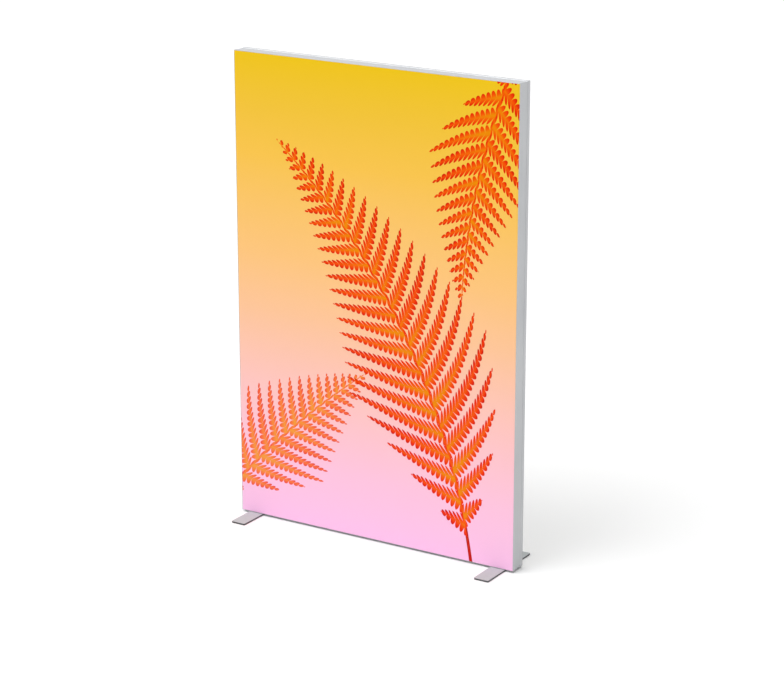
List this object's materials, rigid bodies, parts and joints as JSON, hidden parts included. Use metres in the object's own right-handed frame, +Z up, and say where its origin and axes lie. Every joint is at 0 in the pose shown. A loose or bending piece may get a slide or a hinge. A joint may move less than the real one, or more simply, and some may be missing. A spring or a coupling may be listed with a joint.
{
  "type": "lightbox display wall",
  "caption": "Free-standing light box: a mitred aluminium frame with a tensioned fabric graphic edge to edge on each face, light bars inside, and flat feet that swivel.",
  "frame": {"origin": "on the floor at the centre of the footprint", "axes": "+Z up, -Y out of the printed front face, +X to the viewer's right when the front is faced"},
  "size_m": [1, 0.264, 1.506],
  "materials": {
    "anodised_aluminium": "satin",
    "cast_aluminium": "matt",
    "zinc_plated_steel": "satin",
    "silver_coated_steel": "satin",
    "black_rubber": "matt",
    "printed_polyester": "matt",
    "white_polyester": "matt",
    "clear_silicone": "satin",
    "white_circuit_board": "matt",
    "clear_lens_plastic": "gloss",
    "grey_coated_case": "satin",
    "black_moulded_plastic": "satin",
    "plated_brass": "satin",
    "black_cable_sheath": "matt",
    "white_cable_sheath": "matt"
  },
  "bodies": {
    "frame": {"back_edge_strip_bottom": "clear_silicone", "back_edge_strip_left": "clear_silicone", "back_edge_strip_right": "clear_silicone", "back_edge_strip_top": "clear_silicone", "back_fabric": "white_polyester", "bottom_rail": "anodised_aluminium", "bracket_screw_left_bottom": "zinc_plated_steel", "bracket_screw_left_top": "zinc_plated_steel", "bracket_screw_right_bottom": "zinc_plated_steel", "bracket_screw_right_top": "zinc_plated_steel", "corner_key_bottom_left": "cast_aluminium", "corner_key_bottom_right": "cast_aluminium", "corner_key_top_left": "cast_aluminium", "corner_key_top_right": "cast_aluminium", "corner_screw_bottom_left_rail": "zinc_plated_steel", "corner_screw_bottom_left_stile": "zinc_plated_steel", "corner_screw_bottom_right_rail": "zinc_plated_steel", "corner_screw_bottom_right_stile": "zinc_plated_steel", "corner_screw_top_left_rail": "zinc_plated_steel", "corner_screw_top_left_stile": "zinc_plated_steel", "corner_screw_top_right_rail": "zinc_plated_steel", "corner_screw_top_right_stile": "zinc_plated_steel", "crossbar": "anodised_aluminium", "crossbar_bracket_left": "cast_aluminium", "crossbar_bracket_right": "cast_aluminium", "driver_screw_left": "zinc_plated_steel", "driver_screw_right": "zinc_plated_steel", "front_edge_strip_bottom": "clear_silicone", "front_edge_strip_left": "clear_silicone", "front_edge_strip_right": "clear_silicone", "front_edge_strip_top": "clear_silicone", "front_fabric": "printed_polyester", "inlet_housing": "black_moulded_plastic", "inlet_pin_earth": "plated_brass", "inlet_pin_live": "plated_brass", "inlet_pin_neutral": "plated_brass", "jumper_lead_left": "white_cable_sheath", "jumper_lead_right": "white_cable_sheath", "led_board_left_bottom": "white_circuit_board", "led_board_left_top": "white_circuit_board", "led_board_right_bottom": "white_circuit_board", "led_board_right_top": "white_circuit_board", "led_driver": "grey_coated_case", "led_lead_left": "white_cable_sheath", "led_lead_right": "white_cable_sheath", "left_foot_screw": "zinc_plated_steel", "left_stile": "anodised_aluminium", "lens_strip_left_bottom": "clear_lens_plastic", "lens_strip_left_top": "clear_lens_plastic", "lens_strip_right_bottom": "clear_lens_plastic", "lens_strip_right_top": "clear_lens_plastic", "mains_lead": "black_cable_sheath", "right_foot_screw": "zinc_plated_steel", "right_stile": "anodised_aluminium", "top_rail": "anodised_aluminium"},
    "left_foot": {"left_foot_plate": "silver_coated_steel", "left_foot_pad": "black_rubber"},
    "right_foot": {"right_foot_plate": "silver_coated_steel", "right_foot_pad": "black_rubber"},
    "rocker": {"switch_rocker": "black_moulded_plastic"}
  },
  "joints": [
    {"name": "left_foot_swivel", "type": "hinge", "parent": "frame", "child": "left_foot", "pos_m": [-0.446, 0, 0.0042], "axis": [0, 0, 1], "range_deg": [-90, 90]},
    {"name": "right_foot_swivel", "type": "hinge", "parent": "frame", "child": "right_foot", "pos_m": [0.446, 0, 0.0042], "axis": [0, 0, 1], "range_deg": [-90, 90]},
    {"name": "rocker_tilt", "type": "hinge", "parent": "frame", "child": "rocker", "pos_m": [-0.493, 0, 0.1428], "axis": [0, -1, 0], "range_deg": [0, 12]}
  ]
}
